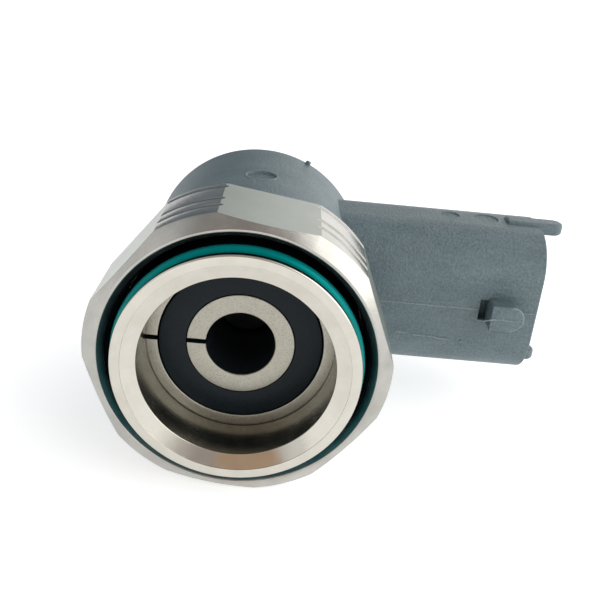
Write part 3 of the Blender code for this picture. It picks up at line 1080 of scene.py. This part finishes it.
@dataclass
class PlugHousing:
    """Moulded cap with the side plug, its latch, guide tongues and mould marks."""

    cap_radius: float = 13.64
    cap: tuple[float, float] = (12.6, 36.1)
    edge: float = 1.1
    bore: tuple[float, float] = (12.3, 33.8)
    span: tuple[float, float] = (20.7, 35.1)
    half_z: float = 9.23
    corner: float = 5.2
    wall: float = 1.6
    mouth: float = 35.3
    bar_start: float = 4.0
    bore_start: float = 9.0
    socket_floor: float = 23.0
    passage: tuple[float, float, float] = (2.8, 4.9, 1.1)
    passage_x: float = 11.0
    passage_length: float = 13.0
    latch_x: tuple[float, float] = (29.1, 33.15)
    latch_half: float = 1.6
    latch_reach: float = 2.3
    latch_zone: float = 1.65
    # Depth behind the latch's front within which its rounded rim gets a painted highlight.
    lit_rim_depth: float = 0.1
    root: float = 0.8
    pocket: tuple[float, float, float] = (1.0, 1.35, 1.5)
    tongue_x: tuple[float, float] = (31.2, 38.4)
    tongue_y: float = 28.15
    tongue_half: float = 1.25
    tongue_z: tuple[float, float] = (8.1, 9.6)
    cap_mark: tuple[float, float, float] = (0.3, 23.0, 1.8)
    cap_mark_depth: float = 0.24
    burr: float = 0.11
    burr_height: float = 0.03
    burr_zone: float = 0.06
    plug_marks: tuple[tuple[float, float, float], ...] = ((24.15, 28.6, 1.25), (28.7, 28.4, 1.6))
    plug_mark_depth: float = 0.14
    mark_slope: float = 0.12
    flash: float = 0.07
    flash_stand: float = 0.012
    flash_area: float = 3.5
    nub_angle: float = 65.0
    nub_y: float = 34.6
    nub_radius: float = 0.34
    nub_height: float = 0.45

    def cap_solid(self) -> bmesh.types.BMesh:
        """Return the cap as a solid, without its bore.

        Returns:
            A closed mesh in millimetres.
        """
        corners = [(0.0, self.cap[1], 0.0), (self.cap_radius, self.cap[1], self.edge),
                   (self.cap_radius, self.cap[0], 0.25), (0.0, self.cap[0], 0.0)]
        return turned(filleted(corners, 10), ROUND, closed=False)

    def bar(self, start: float, end: float, inset: float) -> bmesh.types.BMesh:
        """Return a length of the plug's section, set in by an amount.

        Args:
            start: Where it starts along x.
            end: Where it ends along x.
            inset: Distance in from the plug's outside.

        Returns:
            A closed mesh in millimetres.
        """
        span = (self.span[0] + inset, self.span[1] - inset)
        outline = bar_outline(span, self.half_z - inset, self.corner - inset, start)
        return extruded(outline, Vector((end - start, 0.0, 0.0)))

    def latch(self) -> bmesh.types.BMesh:
        """Return the latch: flat towards the cap and half round towards the mouth.

        Returns:
            A closed mesh in millimetres.
        """
        centre = self.latch_x[1] - self.latch_half
        tip = self.span[0] - self.latch_reach
        outline = [Vector((self.latch_x[0], tip, -self.latch_half))]
        for step in range(17):
            turn = math.pi * (step / 16.0 - 0.5)
            outline.append(Vector((centre + self.latch_half * math.cos(turn), tip,
                                   self.latch_half * math.sin(turn))))
        outline.append(Vector((self.latch_x[0], tip, self.latch_half)))
        mesh = extruded(outline, Vector((0.0, self.latch_reach + self.root, 0.0)))
        soften(mesh, 0.12, 3)
        return mesh

    def tongue(self, side: int) -> bmesh.types.BMesh:
        """Return a guide tongue with a bull nose.

        Args:
            side: 1 for the upper tongue and -1 for the lower one.

        Returns:
            A closed mesh in millimetres.
        """
        low, high = self.tongue_z
        centre = self.tongue_x[1] - self.tongue_half
        outline = [Vector((self.tongue_x[0], self.tongue_y - self.tongue_half, side * low)),
                   Vector((self.tongue_x[0], self.tongue_y + self.tongue_half, side * low))]
        for step in range(21):
            turn = math.pi * (0.5 - step / 20.0)
            outline.append(Vector((centre + self.tongue_half * math.cos(turn),
                                   self.tongue_y + self.tongue_half * math.sin(turn), side * low)))
        mesh = extruded(outline, Vector((0.0, 0.0, side * (high - low))))
        soften(mesh, 0.42, 5)
        return mesh

    def flash_lines(self) -> list[tuple[Join, bmesh.types.BMesh]]:
        """Return the thin ridges that the mould's joint leaves on the front wall and the latch.

        Returns:
            The ridges, and the nub on the cap, as shapes to add.
        """
        wall = self.span[0]
        tip = wall - self.latch_reach
        pocket_start = self.latch_x[0] - self.pocket[0]
        lines = [((12.5, wall, 0.0), (pocket_start - 0.25, wall, 0.0), self.flash),
                 ((26.7, wall, 0.0), (27.3, wall, 0.0), 1.5 * self.flash),
                 ((self.latch_x[1] - 0.1, wall, 0.0), (self.mouth - 0.1, wall, 0.0), self.flash),
                 ((28.3, tip + 0.1, -0.45), (29.3, tip, -0.2), 1.4 * self.flash),
                 ((29.0, tip, -0.2), (30.6, tip, -0.05), 1.3 * self.flash),
                 ((30.5, tip, -0.05), (31.6, tip, -0.2), 1.3 * self.flash),
                 ((31.5, tip, -0.2), (33.0, tip, -0.1), self.flash)]
        for start, end, z in ((18.3, 19.7, -3.95), (20.5, 22.2, -4.15), (22.3, 23.5, -4.2),
                              (23.4, 25.2, -4.35), (26.45, 26.8, -4.5)):
            lines.append(((start, wall, z), (end, wall, z - 0.06), 1.4 * self.flash))
        for x, z in ((14.1, 0.95), (15.0, 0.95), (16.9, 0.75), (21.8, 0.6), (23.3, 0.62),
                     (24.7, 0.75)):
            lines.append(((x, wall, z), (x + 0.16, wall, z), self.flash))
        angle = math.radians(self.nub_angle)
        out = Vector((math.cos(angle), 0.0, math.sin(angle)))
        nub = rod(out * (self.cap_radius - self.root) + Vector((0.0, self.nub_y, 0.0)),
                  out * (self.cap_radius + self.nub_height) + Vector((0.0, self.nub_y, 0.0)),
                  self.nub_radius, 12)
        soften(nub, 0.12, 2)
        ridges = [(Join.ADD, rod(Vector(start), Vector(end), size, 6))
                  for start, end, size in lines]
        return [*ridges, (Join.ADD, nub)]

    def mark_flash(self, mesh: bmesh.types.BMesh) -> None:
        """Give the paler material to the ridges on the front wall and latch, the burr, and as
        painted highlight the latch's round rim.

        Args:
            mesh: The joined housing.
        """
        wall = self.span[0] - self.flash_stand
        tip = self.span[0] - self.latch_reach
        x, y, radius = self.cap_mark
        for face in mesh.faces:
            middle = face.calc_center_median()
            along = self.latch_x[0] - self.pocket[0] < middle.x < self.latch_x[1]
            on_latch = along and abs(middle.z) < self.latch_zone
            # On the rounded end of the latch, the rim gets the paler material as a painted
            # highlight.
            lit_rim = middle.x > self.latch_x[1] - self.latch_half
            front = wall
            if on_latch:
                front = tip + self.lit_rim_depth if lit_rim else tip - self.flash_stand
            small = face.calc_area() < self.flash_area
            if middle.x > self.cap_radius and middle.y < front and small:
                face.material_index = 1
            near = math.hypot(middle.x - x, middle.y - y) < radius + self.burr + 0.01
            if near and middle.z > self.cap_radius - self.burr_zone:
                face.material_index = 1

    def ejector_mark(self, x: float, y: float, surface: float, depth: float,
                     radius: float) -> tuple[Join, bmesh.types.BMesh]:
        """Return the cut that an ejector pin leaves: a flat floor with a sloping side.

        Args:
            x: Place of the pin along the plug.
            y: Place of the pin along the valve's axis.
            surface: Height of the surface that it stood against.
            depth: How far the floor lies under that height.
            radius: Radius of the pin.

        Returns:
            The cut.
        """
        slope = self.mark_slope
        height = 1.0
        mesh = bmesh.new()
        middle = Vector((x, y, surface - depth + 0.5 * height))
        bmesh.ops.create_cone(mesh, cap_ends=True, segments=48, radius1=radius - slope,
                              radius2=radius - slope + slope * height / depth, depth=height,
                              matrix=Matrix.Translation(middle))
        return Join.CUT, mesh

    def build(self, axis: ValveAxis) -> bpy.types.Object:
        """Build and dress the housing.

        Args:
            axis: The valve's axis.

        Returns:
            The finished housing.
        """
        bore_radius, bore_end = self.bore
        bore = [(0.0, self.bore_start), (bore_radius, self.bore_start), (bore_radius, bore_end),
                (0.0, bore_end)]
        middle = 0.5 * sum(self.span)
        half_y, half_z, corner = self.passage
        passage = bar_outline((middle - half_y, middle + half_y), half_z, corner,
                              self.passage_x, 5)
        mouth_bar = self.bar(self.bar_start, self.mouth, 0.0)
        soften(mouth_bar, 0.22, 3, 60.0)
        socket = self.bar(self.socket_floor, self.mouth + 3.0, self.wall)
        length, half, depth = self.pocket
        pocket = block(Vector((self.latch_x[0] - length, self.span[0] - 1.0, -half)),
                       Vector((self.latch_x[0] + 0.01, self.span[0] + depth, half)))
        steps = [
            (Join.ADD, mouth_bar), (Join.CUT, turned(bore, ROUND, closed=False)),
            (Join.CUT, socket),
            (Join.CUT, extruded(passage, Vector((self.passage_length, 0.0, 0.0)))),
            (Join.CUT, pocket), (Join.ADD, self.latch()), (Join.ADD, self.tongue(-1)),
            (Join.ADD, self.tongue(1)), *self.flash_lines()]
        x, y, radius = self.cap_mark
        rim = Vector((x, y, self.cap_radius + self.burr_height))
        steps.append((Join.ADD, rod(rim - Vector((0.0, 0.0, 0.5)), rim, radius + self.burr, 48)))
        steps.append(self.ejector_mark(x, y, self.cap_radius, self.cap_mark_depth, radius))
        for x, y, radius in self.plug_marks:
            steps.append(self.ejector_mark(x, y, self.half_z, self.plug_mark_depth, radius))
        mesh = combined(self.cap_solid(), steps)
        self.mark_flash(mesh)
        piece = axis.put(mesh, "plastic_housing_finished", 32.0)
        return dress(piece, Body.HEAD,
                     [HOUSING_PLASTIC.make(axis), FLASH_AND_HIGHLIGHT_PLASTIC.make(axis)],
                     ("plastic_housing",))


def dress_frame_nodes(axis: ValveAxis) -> None:
    """Give the frame's own nodes that stay in view their finished materials.

    Args:
        axis: The valve's axis.
    """
    finishes = {
        "coil_bobbin": INSERT_PLASTIC, "core_spring_washer": SPRING_STEEL,
        "core_support_disc": SPRING_STEEL, "spring_preload_shim": SPRING_STEEL,
        "pin_seal_1": BLACK_RUBBER, "pin_seal_2": BLACK_RUBBER, "coil_lead_1": COPPER,
        "coil_lead_2": COPPER, "terminal_blade_1": TIN_PLATE, "terminal_blade_2": TIN_PLATE,
        "terminal_carrier": INSERT_PLASTIC}
    made: dict[str, bpy.types.Material] = {}
    for node, finish in finishes.items():
        if finish.name not in made:
            made[finish.name] = finish.make(axis)
        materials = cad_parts[node].data.materials
        materials.clear()
        materials.append(made[finish.name])
        LOG.info("%s: dressed with %s", node, finish.name)


# --------------------------------------------------------------------------- studio


@dataclass(frozen=True)
class SkyPatch:
    """A soft round patch of light or shade on the tent round the valve.

    The direction points at its middle. The edge and the core are cosines of the angle from there:
    the patch starts at its edge and is full inside its core.
    """

    direction: tuple[float, float, float]
    edge: float
    core: float
    colour: Colour


SKY_PATCHES = (
    SkyPatch((0.0, 0.0, 1.0), 0.45, 0.85, (0.42, 0.43, 0.45)),
    SkyPatch((0.75, -0.55, 0.3), 0.5, 0.85, (1.35, 1.35, 1.33)),
    SkyPatch((0.0, -0.87, 0.5), 0.78, 0.94, (0.46, 0.42, 0.4)),
    SkyPatch((-0.17, -0.93, 0.26), 0.965, 0.98, (0.56, 0.4, 0.29)),
    SkyPatch((-0.48, 0.83, 0.27), 0.57, 0.906, (0.2, 0.23, 0.26)),
    SkyPatch((0.78, 0.61, 0.15), 0.47, 0.966, (1.6, 1.6, 1.57)))


@dataclass
class Studio:
    """Pale floor, soft light and the camera."""

    camera_place: tuple[float, float, float] = (3.548, -69.447, 40.107)
    azimuth: float = 1.67
    elevation: float = -24.42
    roll: float = 5.76
    lens: float = 48.69
    floor_size: float = 6.0
    floor_colour: Colour = (0.9, 0.9, 0.9)
    floor_glow: float = 0.5
    tent_colour: Colour = (0.95, 0.96, 0.97)
    light_place: tuple[float, float, float] = (0.46, -0.26, 0.3)
    light_size: float = 0.5
    light_power: float = 1.15

    def add_camera(self, axis: ValveAxis) -> None:
        """Stand the camera in front of the open sleeve, a little above it.

        Args:
            axis: The valve's axis.
        """
        data = bpy.data.cameras.new("camera")
        data.sensor_width = 36.0
        data.lens = self.lens
        data.clip_start = 0.001
        camera = bpy.data.objects.new("camera", data)
        bpy.context.collection.objects.link(camera)
        azimuth, elevation = math.radians(self.azimuth), math.radians(self.elevation)
        look = Vector((math.sin(azimuth) * math.cos(elevation),
                       math.cos(azimuth) * math.cos(elevation), math.sin(elevation)))
        turn = look.to_track_quat("-Z", "Y").to_matrix().to_4x4()
        place = axis.origin + Vector(self.camera_place) * MM
        camera.matrix_world = (Matrix.Translation(place) @ turn
                               @ Matrix.Rotation(math.radians(self.roll), 4, "Z"))
        bpy.context.scene.camera = camera

    def add_floor(self) -> None:
        """Lay the floor under the nut."""
        mesh = bmesh.new()
        bmesh.ops.create_grid(mesh, x_segments=2, y_segments=2, size=0.5 * self.floor_size)
        floor = loose_object(mesh, "floor")
        tree = NodeTree("floor_paper")
        tree.set(Base_Color=(*self.floor_colour, 1.0), Roughness=0.9, Specular_IOR_Level=0.1,
                 Emission_Color=(1.0, 1.0, 1.0, 1.0), Emission_Strength=self.floor_glow)
        floor.data.materials.append(tree.material)

    def add_light(self, name: str, place: Vector, size: float, power: float) -> None:
        """Hang a square soft light that faces the valve.

        Args:
            name: The light's name.
            place: Its place in metres.
            size: Its side in metres.
            power: Its power in watts.
        """
        data = bpy.data.lights.new(name, "AREA")
        data.size = size
        data.energy = power
        light = bpy.data.objects.new(name, data)
        bpy.context.collection.objects.link(light)
        light.location = place
        light.rotation_euler = (-place).to_track_quat("-Z", "Y").to_euler()

    def add_sky(self) -> None:
        """Surround the valve with soft white, darker and warmer on the camera's side."""
        world = bpy.data.worlds.new("soft_tent")
        bpy.context.scene.world = world
        world.use_nodes = True
        nodes, links = world.node_tree.nodes, world.node_tree.links
        where = nodes.new("ShaderNodeTexCoord").outputs["Generated"]
        path = nodes.new("ShaderNodeLightPath")
        colour: bpy.types.NodeSocket | None = None
        for patch in SKY_PATCHES:
            dot = nodes.new("ShaderNodeVectorMath")
            dot.operation = "DOT_PRODUCT"
            dot.inputs[1].default_value = Vector(patch.direction).normalized()
            links.new(where, dot.inputs[0])
            spread = nodes.new("ShaderNodeMapRange")
            spread.interpolation_type = "SMOOTHSTEP"
            spread.inputs["From Min"].default_value = patch.edge
            spread.inputs["From Max"].default_value = patch.core
            links.new(dot.outputs["Value"], spread.inputs["Value"])
            colour = self.mixed_light(world, spread.outputs["Result"], colour, patch.colour)
        seen = self.mixed_light(world, path.outputs["Is Camera Ray"], colour, (1.0, 1.0, 1.0))
        background = nodes["Background"]
        links.new(seen, background.inputs["Color"])
        background.inputs["Strength"].default_value = 1.0

    def mixed_light(self, world: bpy.types.World, factor: bpy.types.NodeSocket,
                    under: bpy.types.NodeSocket | None, over: Colour) -> bpy.types.NodeSocket:
        """Lay one colour of light over another.

        Args:
            world: The world that gets the node.
            factor: Share of the upper colour.
            under: The lower colour, or None for the plain tent's.
            over: The upper colour.

        Returns:
            The mixed colour.
        """
        mix = world.node_tree.nodes.new("ShaderNodeMix")
        mix.data_type = "RGBA"
        mix.inputs["A"].default_value = (*self.tent_colour, 1.0)
        if under is not None:
            world.node_tree.links.new(under, mix.inputs["A"])
        mix.inputs["B"].default_value = (*over, 1.0)
        world.node_tree.links.new(factor, mix.inputs["Factor"])
        return mix.outputs["Result"]

    def build(self, axis: ValveAxis) -> None:
        """Set up the camera, the floor and the light.

        Args:
            axis: The valve's axis.
        """
        self.add_camera(axis)
        self.add_floor()
        self.add_sky()
        self.add_light("right_softbox", Vector(self.light_place), self.light_size,
                       self.light_power)
        bpy.context.scene.view_settings.view_transform = "Standard"
        LOG.info("studio is ready")


def main() -> None:
    """Build the head round the frame, piece by piece."""
    logging.basicConfig(level=logging.INFO, format="%(name)s: %(message)s")
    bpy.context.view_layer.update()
    axis = ValveAxis.of_frame()
    Studio().build(axis)
    UnionNut().build(axis)
    MagnetSleeve().build(axis)
    PotCore().build(axis)
    Winding().build(axis)
    PlugHousing().build(axis)
    dress_frame_nodes(axis)


if __name__ == "__main__":
    main()
